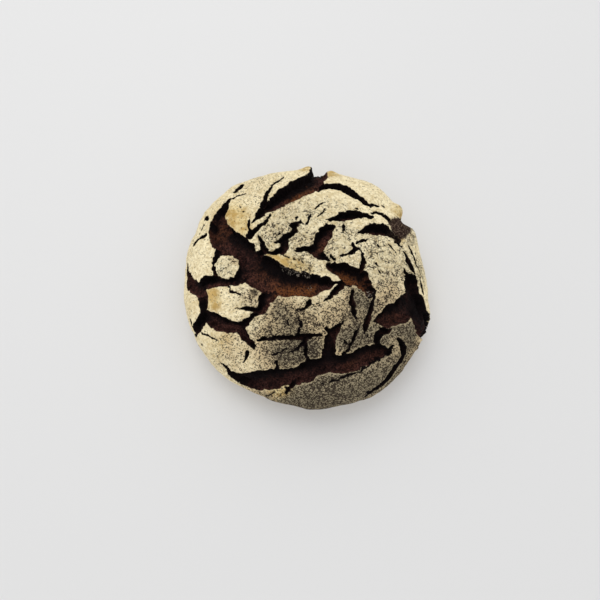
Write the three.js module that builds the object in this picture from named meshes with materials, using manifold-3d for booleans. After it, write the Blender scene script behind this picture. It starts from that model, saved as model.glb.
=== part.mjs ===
// A round hearth-baked sourdough loaf, about 250 mm across and 84 mm high, baked seam side up.
// It is one piece of bread, so it is one solid: a flour-dusted crust that tore open into fissures as the loaf
// rose in the oven, over a crumb that closes the floor of every fissure. Units are millimetres, +Z is up, the
// loaf stands on z = 0, and the origin is under the middle of its plan outline.
import * as THREE from "three";
import { mergeVertices } from "three/addons/utils/BufferGeometryUtils.js";
import Module from "manifold-3d";

// Driving dimensions
const MEAN_RADIUS = 125; // plan radius at the widest ring
const LOAF_HEIGHT = 84; // from the table to the crown
const WIDEST_AT = 29; // height of the widest ring above the table
const BASE_INSET = 22; // how far the flat base stays inside the widest ring
const CROWN_POWER = 2.35; // over 2: a crown flatter than an ellipse, with steeper shoulders
const CRUST_DEPTH = 8; // depth of the main fissures
const CRUMB_LIFT = 5; // the crumb starts this far above the table
const SURFACE_DETAIL = 15; // subdivisions of the icosahedron that is shaped into the loaf

// The dough never spreads evenly: [waves round the rim, size in mm, azimuth of a peak in degrees]
const RIM_WAVES = [
  [2, 2.2, -50],
  [3, 1.2, 52],
  [4, 2.0, 45],
  [5, 1.2, -11],
];

// The main fissures, each as points along its middle: [x, y, width]
const FISSURES = {
  great: [
    [-77, 75, 2], [-82, 68, 9], [-86, 52, 17], [-84, 41, 24], [-76, 29, 26], [-56, 12, 23], [-40, -3, 26],
    [-22, -13.5, 26], [0, -17, 21], [12, -17, 12], [23, -14, 1],
  ],
  left_arm: [[-58, -8, 8], [-73, -12.5, 8], [-89, -9.5, 12], [-101, -14, 10]],
  left_rim: [
    [-117, 7, 4], [-112, -8, 11], [-101, -19, 13], [-96.5, -33, 9], [-100, -43, 10], [-105, -56, 5],
  ],
  lower_left: [[-96, -40, 11], [-88, -45, 14], [-74, -51, 12], [-61, -56, 9], [-52, -66, 7], [-48, -74, 1]],
  lower_fork: [[-32, -19, 12], [-36, -31, 12], [-44, -38, 8], [-60, -38.5, 2]],
  front: [
    [-82, -84, 1], [-70, -92, 7], [-53, -99.5, 14], [-34, -99, 16], [-15, -96.5, 14], [0, -92, 16], [20, -88, 14],
    [41, -86, 15], [56, -79, 15], [68, -75.5, 9], [82, -71, 1],
  ],
  front_fork: [[19.5, -84, 11], [20, -66, 9.5], [25, -57, 6], [33, -49, 1]],
  back: [
    [-51, 47, 1], [-38, 61, 10], [-18, 77, 17], [0, 90, 20], [9, 98, 17], [11, 110, 14], [12, 122, 13],
  ],
  back_right: [[11, 83, 4], [28, 87.5, 6.5], [45, 80.5, 9], [63, 66, 1]],
  right_lens: [[20, 48, 1], [33, 52, 10], [48, 57, 8], [64, 56.5, 1]],
  right_burst: [[48, 34, 1], [60, 41, 11], [73, 42, 12], [86, 46, 13], [96, 48, 12]],
  middle: [[27, 39, 4], [18, 34, 11], [12, 22, 12], [11, 14, 10], [24, 5, 1]],
  middle_arm: [[8, 17, 9], [-3, 17, 7], [-11, 15, 1]],
  centre_right: [[20, 0.5, 4], [36, -5, 15], [50, -12.5, 16], [58, -27, 2]],
  right_rim: [
    [93, 3, 1], [98, -13, 15], [105, -29, 21], [110, -44, 20], [111, -55, 10], [110, -61, 1],
  ],
  right_arm: [[101, -33, 16], [86, -38.5, 18], [73, -45, 13], [63, -49.5, 2]],
  front_right: [[84, -60, 1], [90.5, -72, 6], [83, -89, 6], [70, -104, 5], [60, -112, 1]],
};

const radians = (degrees) => (degrees * Math.PI) / 180;

// Plan radius of the widest ring at an azimuth.
function rimRadius(azimuth) {
  const swell = RIM_WAVES.map(([waves, size, peak]) => size * Math.cos(waves * (azimuth - radians(peak))));
  return MEAN_RADIUS + swell.reduce((sum, wave) => sum + wave, 0);
}

// The half profile from the crown, over the shoulder and in under the loaf to the middle of the base, as points
// [distance in from the rim, height], for a form that is inset from the crust and lifted off the table.
function halfProfile(inset, lift) {
  const points = [];
  const steps = 60;
  const half = MEAN_RADIUS - inset;
  const rise = LOAF_HEIGHT - inset - WIDEST_AT;
  for (let i = 0; i <= steps; i++) {
    const share = Math.sin((i / steps) * (Math.PI / 2));
    const height = WIDEST_AT + rise * Math.sqrt(1 - share ** CROWN_POWER);
    points.push([half * share, height]);
  }
  for (let i = 1; i <= steps; i++) {
    const turn = (i / steps) * (Math.PI / 2);
    points.push([half - BASE_INSET * (1 - Math.cos(turn)), lift + (WIDEST_AT - lift) * (1 - Math.sin(turn))]);
  }
  for (let i = 1; i <= steps; i++) points.push([(half - BASE_INSET) * (1 - i / steps), lift]);
  return points;
}

// Shapes a fine icosahedron into the loaf: each ring of the ball goes to the ring of the profile that has the
// same share of the surface above it, so the triangles stay even.
function loafGeometry(inset, lift) {
  const profile = halfProfile(inset, lift);
  const area = [0];
  for (let i = 1; i < profile.length; i++) {
    const [r0, z0] = profile[i - 1];
    const [r1, z1] = profile[i];
    area.push(area[i - 1] + (r0 + r1) * Math.hypot(r1 - r0, z1 - z0));
  }
  const total = area[area.length - 1];
  const ball = new THREE.IcosahedronGeometry(1, SURFACE_DETAIL);
  ball.deleteAttribute("normal");
  ball.deleteAttribute("uv");
  const geometry = mergeVertices(ball, 1e-4);
  const position = geometry.getAttribute("position");
  for (let v = 0; v < position.count; v++) {
    const azimuth = Math.atan2(position.getY(v), position.getX(v));
    const wanted = (total * (1 - position.getZ(v))) / 2;
    let i = 1;
    while (i < area.length - 1 && area[i] < wanted) i++;
    const part = THREE.MathUtils.clamp((wanted - area[i - 1]) / (area[i] - area[i - 1]), 0, 1);
    const radius = THREE.MathUtils.lerp(profile[i - 1][0], profile[i][0], part);
    const height = THREE.MathUtils.lerp(profile[i - 1][1], profile[i][1], part);
    const spread = rimRadius(azimuth) / MEAN_RADIUS;
    position.setXYZ(v, radius * spread * Math.cos(azimuth), radius * spread * Math.sin(azimuth), height);
  }
  return geometry;
}

// Height of the crust over a point of the plan.
function crustHeight(x, y) {
  const share = Math.min(Math.hypot(x, y) / rimRadius(Math.atan2(y, x)), 1);
  return WIDEST_AT + (LOAF_HEIGHT - WIDEST_AT) * Math.sqrt(1 - share ** CROWN_POWER);
}

// A fissure's cutter is a slab that widens away from a focus under the loaf, so that it meets the crown from
// above and the rim from the side. Its outline is drawn on the plane one unit over the focus.
const FOCUS_BELOW = 60;
const CUT_FROM = 70; // distance above the focus where the slab starts, inside the crumb
const CUT_TO = 175; // and where it ends, outside the loaf

function fissureCutter(points) {
  const middle = new THREE.SplineCurve(points.map(([x, y]) => new THREE.Vector2(x, y)));
  const steps = 3 * (points.length - 1);
  const sides = [[], []];
  for (let i = 0; i <= steps; i++) {
    const along = i / steps;
    const at = middle.getPoint(along);
    const across = middle.getTangent(along).rotateAround(new THREE.Vector2(), Math.PI / 2);
    const place = along * (points.length - 1);
    const k = Math.min(Math.floor(place), points.length - 2);
    const width = THREE.MathUtils.lerp(points[k][2], points[k + 1][2], place - k);
    sides.forEach((side, s) => {
      const edge = at.clone().addScaledVector(across, ((s ? -1 : 1) * width) / 2);
      side.push(edge.divideScalar(crustHeight(edge.x, edge.y) + FOCUS_BELOW));
    });
  }
  const outline = new THREE.Shape([...sides[0], ...sides[1].reverse()]);
  const slab = new THREE.ExtrudeGeometry(outline, { depth: 1, steps: 1, bevelEnabled: false });
  const position = slab.getAttribute("position");
  for (let v = 0; v < position.count; v++) {
    const rise = THREE.MathUtils.lerp(CUT_FROM, CUT_TO, position.getZ(v));
    position.setXYZ(v, position.getX(v) * rise, position.getY(v) * rise, rise - FOCUS_BELOW);
  }
  return slab;
}

const wasm = await Module();
wasm.setup();

// A closed three.js geometry as a manifold-3d solid, and back.
function toSolid(geometry) {
  const bare = geometry.clone();
  bare.deleteAttribute("normal");
  bare.deleteAttribute("uv");
  const merged = mergeVertices(bare, 1e-4);
  return new wasm.Manifold(
    new wasm.Mesh({
      numProp: 3,
      vertProperties: new Float32Array(merged.getAttribute("position").array),
      triVerts: new Uint32Array(merged.index.array),
    }),
  );
}

function toGeometry(solid) {
  const mesh = solid.getMesh();
  const geometry = new THREE.BufferGeometry();
  geometry.setAttribute("position", new THREE.BufferAttribute(new Float32Array(mesh.vertProperties), 3));
  geometry.setIndex(new THREE.BufferAttribute(new Uint32Array(mesh.triVerts), 1));
  geometry.computeVertexNormals();
  return geometry;
}

// The loaf: the crust's form, less the fissures, joined to the crumb inside it.
let crust = toSolid(loafGeometry(0, 0));
for (const points of Object.values(FISSURES)) crust = crust.subtract(toSolid(fissureCutter(points)));
const loaf = toGeometry(crust.add(toSolid(loafGeometry(CRUST_DEPTH, CRUMB_LIFT))));
loaf.computeBoundingBox();
const middle = loaf.boundingBox.getCenter(new THREE.Vector3());
loaf.translate(-middle.x, -middle.y, -loaf.boundingBox.min.z);

const bakedCrust = new THREE.MeshStandardMaterial({ color: 0xb79f75, roughness: 0.95, metalness: 0 });
const bread = new THREE.Mesh(loaf, bakedCrust);
bread.name = "sourdough_loaf";

const part = new THREE.Group();
part.add(bread);
export default part;
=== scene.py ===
# %% [markdown]
# # A round sourdough loaf
# A hearth loaf is one lump of dough. It is dusted with flour, and in the oven its skin sets before the
# inside has finished rising, so the rising crumb tears the skin into plates. What makes it look real is
# the torn pattern: pale floury plates, dark walls under their lips, and rough brown crumb at the bottom
# of every tear. Plates modelled one by one would show seams, so the loaf is one mesh: a ball is shaped
# into the loaf, made finer along the tears, and pushed in and out. Each point keeps a few numbers, such
# as how far it lies from the nearest torn edge, and the material reads them.

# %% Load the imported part
import math

import bmesh
import bpy
import numpy as np
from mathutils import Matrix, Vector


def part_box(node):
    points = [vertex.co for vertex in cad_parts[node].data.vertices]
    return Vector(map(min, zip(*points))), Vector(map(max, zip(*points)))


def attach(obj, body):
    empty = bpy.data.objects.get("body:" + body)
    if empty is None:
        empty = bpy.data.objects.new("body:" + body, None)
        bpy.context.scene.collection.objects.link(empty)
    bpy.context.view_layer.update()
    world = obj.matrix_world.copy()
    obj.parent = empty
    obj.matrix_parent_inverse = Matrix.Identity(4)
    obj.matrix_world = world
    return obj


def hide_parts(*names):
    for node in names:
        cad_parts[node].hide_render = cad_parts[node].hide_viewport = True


MM_PER_METRE = 1000
METRES_PER_MM = 0.001

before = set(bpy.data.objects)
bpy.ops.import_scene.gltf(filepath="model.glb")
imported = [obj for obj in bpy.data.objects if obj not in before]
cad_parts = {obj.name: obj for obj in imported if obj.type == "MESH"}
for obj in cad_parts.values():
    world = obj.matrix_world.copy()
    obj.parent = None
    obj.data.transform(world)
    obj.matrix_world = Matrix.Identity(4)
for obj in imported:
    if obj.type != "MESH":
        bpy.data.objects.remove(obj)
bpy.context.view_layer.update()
low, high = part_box("sourdough_loaf")
print("CAD box in mm:", [round(MM_PER_METRE * side, 1) for side in high - low])

# %% [markdown]
# ## The loaf's form
# Before it tears, the loaf is a flat dome with round shoulders, tucked in under its widest ring, on a flat
# base. A few waves round the rim make it the slightly uneven round that dough spreads to. It could be
# sculpted point by point, but a half profile and a rim say the same in a few numbers. These sizes repeat
# the CAD part's, in millimetres, so that the looks sit exactly on the solid.

# %% Sizes of the loaf
MEAN_RADIUS = 125  # plan radius of the widest ring
LOAF_HEIGHT = 84  # from the table to the crown
WIDEST_AT = 29  # height of the widest ring above the table
BASE_INSET = 22  # how far the flat base stays inside the widest ring
CROWN_POWER = 2.35  # over 2: a crown flatter than an ellipse, with steeper shoulders
RIM_WAVES = [(2, 2.2, -50), (3, 1.2, 52), (4, 2.0, 45), (5, 1.2, -11)]  # waves, size, azimuth of a peak


def rim_radius(azimuth):
    """Radius of the widest ring, in mm, at an azimuth in radians."""
    swell = sum(size * np.cos(waves * (azimuth - np.radians(peak))) for waves, size, peak in RIM_WAVES)
    return MEAN_RADIUS + swell


def dome_height(share):
    """Height of the dome, in mm, at a share of the way from the crown out to the widest ring."""
    return WIDEST_AT + (LOAF_HEIGHT - WIDEST_AT) * np.sqrt(1 - share**CROWN_POWER)


AROUND_STEPS = 3600
around = np.linspace(-np.pi, np.pi, AROUND_STEPS)
outline = np.stack([rim_radius(around) * np.cos(around), rim_radius(around) * np.sin(around)])
form_middle = (outline.min(axis=1) + outline.max(axis=1)) / 2
row_middle = MM_PER_METRE * np.array([(low.x + high.x) / 2, (low.y + high.y) / 2])
shift = np.append(row_middle - form_middle, 0)
print("the form's centre in the part's frame, mm:", shift.round(2))

# %% The half profile, from the crown to the middle of the base
CROWN_STEPS = 240
TUCK_STEPS = 90
BASE_STEPS = 60
BASE_DETAIL = 0.25  # the plain underside gets this share of the points that the rest gets
share = np.sin(np.linspace(0, np.pi / 2, CROWN_STEPS))
turn = np.linspace(0, np.pi / 2, TUCK_STEPS)[1:]
inwards = np.linspace(1, 0, BASE_STEPS)[1:]
base_radius = MEAN_RADIUS - BASE_INSET
tuck_r = MEAN_RADIUS - BASE_INSET * (1 - np.cos(turn))
tuck_z = WIDEST_AT * (1 - np.sin(turn))
profile_r = np.concatenate([MEAN_RADIUS * share, tuck_r, base_radius * inwards])
profile_z = np.concatenate([dome_height(share), tuck_z, np.zeros(len(inwards))])
step_r = np.gradient(profile_r)
step_z = np.gradient(profile_z)
step = np.hypot(step_r, step_z)
detail = np.where(profile_z > 0.5, 1.0, BASE_DETAIL)
weight = np.cumsum(profile_r * step * detail)
weight = (weight - weight[0]) / (weight[-1] - weight[0])
print("profile points:", len(profile_r))


def shape(ball):
    """Points of a unit ball, moved onto the loaf's form: their places and outward directions, in mm."""
    place = np.clip((1 - ball[:, 2]) / 2, 0, 1)
    azimuth = np.arctan2(ball[:, 1], ball[:, 0])
    radius = np.interp(place, weight, profile_r) * rim_radius(azimuth) / MEAN_RADIUS
    height = np.interp(place, weight, profile_z)
    out_r = np.interp(place, weight, -step_z / step)
    out_z = np.interp(place, weight, step_r / step)
    points = np.stack([radius * np.cos(azimuth), radius * np.sin(azimuth), height], axis=1)
    outward = np.stack([out_r * np.cos(azimuth), out_r * np.sin(azimuth), out_z], axis=1)
    return points, outward / np.linalg.norm(outward, axis=1)[:, None]


# %% [markdown]
# ## Where the crust tore
# No rule gives the places of a loaf's tears, so their points are placed one by one, as measured on a real
# loaf. Each tear is a line along its middle, as points (x, y, width) in millimetres seen from above, so it
# can widen and taper. The names say where they are, with the front of the loaf at the bottom of the plan.

# %% The wide tears
WIDE_TEARS = {
    "great": [
        (-77.4, 75.6, 4.5), (-81, 67, 9), (-85.5, 57.5, 11), (-86.2, 44.5, 22), (-83, 34.5, 24),
        (-75.6, 28, 26.4), (-66, 24, 21), (-57.5, 16.5, 22), (-53.5, 8, 24), (-48, -0.5, 31),
        (-37.2, -7.8, 32.5), (-29.7, -11.8, 30.5), (-22.5, -15, 28), (-14, -16, 25), (-5, -17, 23),
        (3.5, -17.5, 20), (9.5, -16.5, 15), (17.5, -16, 12), (21, -16, 7.5), (24, -15, 3),
    ],
    "left_arm": [
        (-60, -10, 8), (-67, -12.4, 7.6), (-75, -12, 8), (-86, -10, 12), (-94, -10.5, 13),
        (-101, -15.5, 12),
    ],
    "round_island": [(-62, 16, 9), (-59.5, 8, 9), (-60, -1, 9), (-63.5, -8, 8)],
    "left_rim": [
        (-118.6, 15, 4.5), (-117.8, 6, 7), (-116, -1, 11), (-112.5, -8.4, 16), (-104.8, -14.7, 14.5),
        (-98.7, -20, 11), (-97.3, -27.4, 10.8), (-97, -33, 10), (-96.4, -39, 9.8), (-99, -45.5, 9.5),
        (-102.6, -50, 11), (-106, -52, 9), (-109.5, -51, 5), (-113, -45, 3),
    ],
    "lower_left": [
        (-94.5, -41, 11), (-88, -45.5, 14.5), (-79.7, -50, 14), (-70.8, -53.2, 12.5), (-64, -54, 9.5),
        (-58.6, -57.5, 8), (-54.6, -63, 7.8), (-50, -67.4, 6.2), (-47.8, -73, 3),
    ],
    "lower_fork": [
        (-30.4, -23.4, 12.5), (-35.6, -28.4, 13.2), (-38.8, -34, 11.6), (-42, -38.4, 9.6),
        (-47, -39, 6), (-53.7, -38, 4), (-61, -38, 3), (-67, -37, 2),
    ],
    "front": [
        (-83, -83, 1), (-77, -87.2, 4), (-71.4, -92.2, 8.2), (-66, -97, 16.6), (-60, -100.4, 20.8),
        (-51, -101.6, 21.8), (-41, -101, 22.6), (-32, -99.9, 22.2), (-25, -98.6, 18.8),
        (-17, -98, 16.5), (-9, -97.2, 19), (-2, -94.8, 20), (4, -90.6, 17.5), (11, -89, 15.5),
        (18.5, -87.6, 14.5), (27, -87.6, 15), (35.5, -87.6, 17), (45.5, -83, 18.5), (52.7, -79.8, 19.5),
        (58.3, -77.8, 19), (64, -76.6, 16), (70, -75.2, 11), (75, -73.8, 5), (80, -71.5, 2),
    ],
    "front_fork": [
        (19.5, -80, 12.5), (19.7, -78, 12), (20.3, -71.3, 11), (20.8, -66, 10.5), (22.3, -61.5, 9),
        (26, -57.3, 7.5), (28.8, -53.3, 4), (33, -49, 1.5),
    ],
    "back": [
        (-53, 46.4, 1.8), (-48, 50.6, 5), (-44.6, 55.2, 8.4), (-40, 60, 10.8), (-34, 63.5, 12.5),
        (-29, 68.5, 15.5), (-22, 74.8, 18), (-16, 78.5, 20), (-8, 84, 22), (1, 89.8, 24), (8, 97, 22),
        (12.5, 105, 19), (14, 114, 16), (14.2, 120, 15.4),
    ],
    "back_right": [
        (12, 84.6, 5.5), (19.5, 88.6, 7), (26, 89.4, 8), (32.5, 88.5, 9), (40, 86, 9.5),
        (46.6, 81.6, 8.5), (52, 76.8, 7), (57.5, 71.8, 6), (63.5, 67, 3),
    ],
    "right_lens": [
        (19.5, 46.6, 2), (27, 49, 6.5), (34.5, 51.4, 11), (40.5, 53.3, 10.5), (46.5, 55, 9.5),
        (53, 55.6, 8), (59.8, 56.2, 6), (65.4, 56, 3),
    ],
    "burst_lens": [
        (48, 34, 1.5), (52, 36, 3.5), (57.3, 39.2, 7), (63.8, 41.8, 12), (72.4, 41.6, 12.5),
        (78, 40.6, 10), (82, 38.8, 7.4), (86, 36, 5.4), (90, 31.6, 4),
    ],
    "middle": [
        (26, 40, 5), (21, 38.3, 8), (18, 33, 14), (14.2, 26.8, 13), (10.5, 20.5, 12), (8.2, 15.7, 11),
        (10.5, 12, 9), (15.2, 9.4, 7), (19, 7.4, 4), (21.5, 6.2, 1.5),
    ],
    "middle_arm": [(6, 17.5, 8.5), (0.7, 17.8, 7), (-5, 17.3, 6), (-9, 16, 4), (-12, 15, 1.5)],
    "centre_right": [
        (18.5, 1.4, 3.5), (22, 0.2, 7.5), (26.6, -1.6, 12), (33.6, -3.8, 16.6), (42, -7.8, 17.2),
        (50.2, -11.6, 17), (54.8, -17.4, 11.8), (58, -22, 8.5), (58.5, -26, 4),
    ],
    "right_rim": [
        (91.8, 4, 1), (94, -2, 6), (97.2, -7, 12), (98.8, -12, 18.6), (99.9, -19.5, 22),
        (101.2, -27.4, 25), (106.2, -35, 26), (109, -42, 26), (111.3, -49, 21.5), (112.5, -55, 13),
        (111, -60, 5),
    ],
    "right_arm": [
        (94.5, -31, 22.6), (87.4, -37.8, 24.6), (81.4, -41.4, 21.6), (75.4, -43.4, 18.8),
        (70, -46.6, 12.2), (65, -48.3, 6), (61.8, -49.6, 2),
    ],
}
print("wide tears:", len(WIDE_TEARS))

# %% The narrow tears
NARROW_TEARS = {
    "island_gap": [(-85, 24, 5), (-85.5, 18, 6), (-87, 9, 6), (-87, 1, 6.8), (-83.6, -7, 8)],
    "island_top": [(-84, 17.4, 3), (-75, 18.4, 5), (-68, 16, 6)],
    "left_spot": [(-114, -41, 4), (-112, -45, 4)],
    "fork_link": [
        (-42.5, -40.5, 4), (-48.5, -44.3, 4.2), (-53.6, -47.8, 4.6), (-57.5, -50.5, 5.6), (-60, -54, 7),
    ],
    "flat_plate": [(-73, -16.5, 1), (-71, -20.5, 1.3), (-65, -23, 1.1), (-60.5, -24, 0.8)],
    "front_tail": [
        (55.5, -89, 1.8), (60, -86.5, 1.8), (66.2, -83, 2.2), (72, -79.5, 2.8), (77.2, -76.3, 3.5),
    ],
    "fork_spur": [(21, -61.5, 4), (16.5, -57.5, 3)],
    "cross": [
        (-44.7, -66.3, 2), (-39.3, -65.2, 4.5), (-32.4, -65.2, 3.5), (-24.7, -65, 3), (-17, -64.6, 4),
        (-9, -64.6, 5), (-2, -64.3, 5), (5, -63.5, 3), (11, -62.3, 2.5), (15, -61.2, 1.5),
    ],
    "cross_down": [(-2, -66, 5.2), (-3, -71, 3), (-1.5, -75, 3), (-0.5, -79, 3), (2, -83, 3)],
    "cross_left": [(-4.5, -70.5, 4), (-8.5, -74, 2.5), (-12, -76.5, 1.5), (-17, -78, 1)],
    "front_scratch": [(-19.5, -73, 1.5), (-25, -77, 1.5), (-31, -80, 1.5)],
    "front_nick": [(-28, -92, 3), (-28, -86, 3)],
    "centre_down": [
        (3, -31, 3), (1.2, -35, 4), (-0.7, -38, 2.4), (-6, -40.3, 1), (-14.5, -40.7, 1),
        (-14.5, -44.6, 1.8),
    ],
    "centre_low": [(-7.5, -46, 1), (-5, -50.7, 2.2), (-5, -55, 2.4), (-7.5, -59, 2.4), (-8, -62, 2.6)],
    "centre_scratch": [(-16.5, -49, 1.8), (-16, -54, 1)],
    "diagonal": [
        (33, -14.5, 5), (30.8, -18.2, 6), (26.2, -22.8, 6), (21.7, -28.1, 4.5), (17.8, -31.4, 2.5),
        (12.7, -34, 1.2), (5, -35.5, 1),
    ],
    "right_down": [
        (62, -21, 1.4), (60, -31, 2), (57, -41.2, 5), (54.6, -50.2, 6.5), (52.6, -57, 4.4),
        (51, -62, 1.5),
    ],
    "crescent": [(25, -16, 2.5), (31.5, -13.8, 4), (36, -14.3, 4), (40.5, -17, 2.5)],
    "loop": [
        (41.3, -23.3, 4.4), (40.2, -29, 5), (40, -33.7, 6.5), (41.2, -37, 4.5), (42.7, -41.7, 4.5),
        (43.5, -46.1, 3),
    ],
    "loop_down": [
        (46.2, -57.5, 2), (43.3, -63.6, 4), (39.6, -68.4, 2.8), (36, -73.5, 3), (33, -79.7, 3.4),
    ],
    "loop_spur": [(33.5, -67, 1.5), (38, -69.7, 2)],
    "right_scratch": [(55.5, -61, 1.5), (51, -65.5, 1.2), (48, -69, 1)],
    "arm_hook": [(75, -56.5, 6), (69.6, -57, 8), (65.3, -61, 8), (64.5, -66, 6), (64.5, -71, 5)],
    "front_right": [
        (85.6, -63.8, 3), (89.4, -68.2, 6.4), (92, -73, 7.6), (91.4, -78.4, 8.2), (88, -84, 8.5),
        (84, -87.5, 8.5), (80, -93.3, 8.5), (75.5, -98, 8.5), (70.5, -103, 8), (65, -107.5, 6.5),
        (58, -112, 4),
    ],
    "front_hair": [
        (12.8, -104.7, 1.2), (19.5, -103, 2), (25, -101, 2.4), (32, -98.5, 2.4), (38.5, -96.5, 2),
        (45, -94.7, 1.8), (50, -92, 1.6), (55.5, -89, 1.8),
    ],
    "strip_a": [
        (94, 21.5, 1), (96, 16, 4), (98.6, 9.5, 6.6), (101.6, 4, 5), (103.6, -0.6, 2.6), (105, -4, 1),
    ],
    "strip_b": [
        (99.6, 31, 1), (102, 24, 3), (105, 16.5, 2.6), (108, 10, 1.4), (111, 4, 1.4), (112.6, 0, 0.8),
    ],
    "strip_c": [(109, 35, 2), (111.8, 28, 2.8), (114.2, 21, 1.4), (116, 14, 0.8)],
    "strip_f": [(105, 32, 1), (108, 24, 2.2), (110.5, 17, 0.8)],
    "strip_g": [(107.5, 0.5, 0.8), (110.4, -6, 2.8), (112.8, -13, 3.6), (114.2, -19, 2)],
    "strip_d": [(79.6, 27.7, 1.8), (82.5, 22, 2.6), (85.7, 18.2, 0.8)],
    "strip_e": [(110.6, 14, 1), (113.4, 5, 1.6), (116, -4, 2.4), (118, -11, 3), (118.6, -17, 1.5)],
    "burst_foot": [(87.4, 30.4, 2.6), (91, 28, 3), (94, 27, 1)],
    "lens_tail": [
        (63.5, 59.4, 1), (68, 60.2, 2.4), (73.1, 59.4, 3.8), (78, 58.2, 4.8), (82.5, 55, 4.6),
    ],
    "back_tail": [(65.2, 68.8, 2.6), (70.5, 69.4, 3.2), (78.3, 71, 1.4)],
    "tan_gap": [(-39, 83.5, 2), (-40, 74.7, 4.4), (-41.6, 66.5, 6.2)],
    "tan_hair": [
        (-23, 104, 1.2), (-28, 95.7, 2.6), (-34, 91, 1.6), (-36.5, 83.5, 2.4), (-38, 77, 2.4),
        (-38.5, 72.5, 2),
    ],
    "back_left_nick": [(-66, 97.4, 5.4), (-68.6, 92.4, 6.4), (-71.6, 87.6, 4)],
    "back_left": [(-73.5, 76, 2), (-69.5, 80.5, 1.5), (-61.5, 82.5, 1.5)],
    "upper_gap": [
        (-54, 32, 6), (-51.4, 36, 5), (-46.5, 40.3, 4), (-41.5, 44, 3), (-38, 48.5, 2),
        (-35, 53.5, 1.3), (-32.5, 57.5, 0.6),
    ],
    "tan_edge": [(-55.3, 52, 1.6), (-56, 46.5, 2.4), (-55, 41.3, 2.6), (-53.7, 35.5, 3.6)],
    "tan_scratch": [(-63, 64.5, 1.5), (-59.5, 58.5, 1.5)],
    "left_dot": [(-102, 60.5, 4), (-99.5, 58.5, 4)],
    "left_crumbs": [(-104, 52.5, 1.6), (-106, 50.5, 2)],
    "left_speck": [(-108, 47.5, 2), (-108, 46.5, 2)],
    "left_nick": [(-99, 40.5, 3), (-104.5, 38.5, 4), (-108, 36.3, 4), (-112, 33, 5)],
    "swirl_top": [(4.3, 53, 1.6), (-0.6, 44.5, 2.4)],
    "swirl": [
        (-4.8, 45.5, 3), (-9, 42.5, 5), (-13.5, 39.5, 5), (-12, 36, 5.4), (-15.7, 31.5, 4.2),
        (-20.8, 29, 6), (-25.8, 25.7, 4), (-30, 24.5, 1.5),
    ],
    "swirl_foot": [
        (-21, 25.5, 6.5), (-21, 23, 7), (-20.5, 19, 7.5), (-23.5, 15.2, 7), (-29.5, 14.2, 4),
        (-34, 14.2, 2.2), (-38.5, 15.5, 3),
    ],
    "swirl_left": [(-45.4, 33, 1), (-43, 27.5, 3), (-40.4, 22, 4.6), (-37.2, 18, 5)],
    "sliver_end": [(-39.2, 16.8, 6), (-42, 15.6, 6), (-45, 14.4, 6), (-46, 11, 6)],
    "swirl_nick": [(-27, 33, 1.5), (-30, 30, 1.5)],
    "middle_nick": [(22.5, 10.5, 2.5), (26, 7, 2.5)],
    "middle_spot": [(34.9, 41, 2.6), (35, 37.3, 2.6), (33.5, 34, 1)],
    "inner_right": [(52, 14, 1.5), (52.8, 9.5, 4), (52.5, 4, 5.5), (51.5, -1, 5), (50, -5, 5)],
    "inner_arc": [
        (48.5, 19.5, 2.5), (43.5, 18.5, 4), (40.5, 15.5, 3.5), (34.5, 12.5, 1.5), (31.5, 11, 1),
    ],
    "inner_spur": [(43, 24.5, 3), (45, 21, 3)],
    "inner_top": [(57, 29.5, 2), (52.5, 28, 3), (47.5, 25.5, 2)],
    "top_hair": [(9, 61.5, 1.2), (11.5, 64.5, 1.8), (16, 68, 1.4), (22, 70, 0.5)],
    "top_hair_low": [(10.5, 52, 0.8), (15.5, 56, 1.4), (18.5, 59.5, 1.2), (22, 63, 0.4)],
    "top_hair_right": [(49.5, 64, 2.4), (45, 61.8, 0.6)],
    "top_dot": [(-10, 51, 1.5), (-9.5, 48, 1.5)],
    "lip_hair": [(-20.5, 11.5, 1), (-14, 9, 1), (-8.5, 7, 1), (-2.5, 3.3, 1)],
    "plate_nick_a": [(64.5, 5.5, 1.5), (66, 2, 1.5)],
    "plate_nick_b": [(66.5, 0, 1.8), (68.5, -3.5, 1.8)],
    "plate_nick_c": [(51, 17.5, 1.5), (53, 14, 1.5)],
    "plate_nick_d": [(66.5, 25, 1), (69, 23, 1)],
    "lower_nick": [(-54.5, -76.3, 3), (-55.7, -79.5, 3.5), (-56.8, -82, 2.5), (-59, -84, 2)],
    "lower_speck": [(-68, -83, 1.5), (-67, -83, 1.5)],
    "star": [
        (-0.5, -100, 3), (-5.5, -101.8, 4), (-9.8, -103.2, 3.5), (-12.8, -105, 3.5), (-16, -108.5, 5),
        (-18.8, -113, 2.5),
    ],
    "star_spur": [(-14, -108, 2), (-18.3, -107, 1.5)],
    "left_hair": [(-99, -56.5, 3.2), (-89.5, -61.8, 1.5), (-83.3, -65, 1)],
    "left_rim_speck": [(-102.5, -66, 2), (-101.5, -66, 2)],
    "rim_hair": [(-45, -110.5, 1.2), (-42, -114, 1.2), (-38, -114, 1.2), (-31, -111.5, 1.2)],
}
print("narrow tears:", len(NARROW_TEARS))

# %% [markdown]
# The sides tear too, where the loaf swelled outwards. On a steep side a plan says little, so these tears are
# points (azimuth in degrees, height in mm, width in mm).

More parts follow.
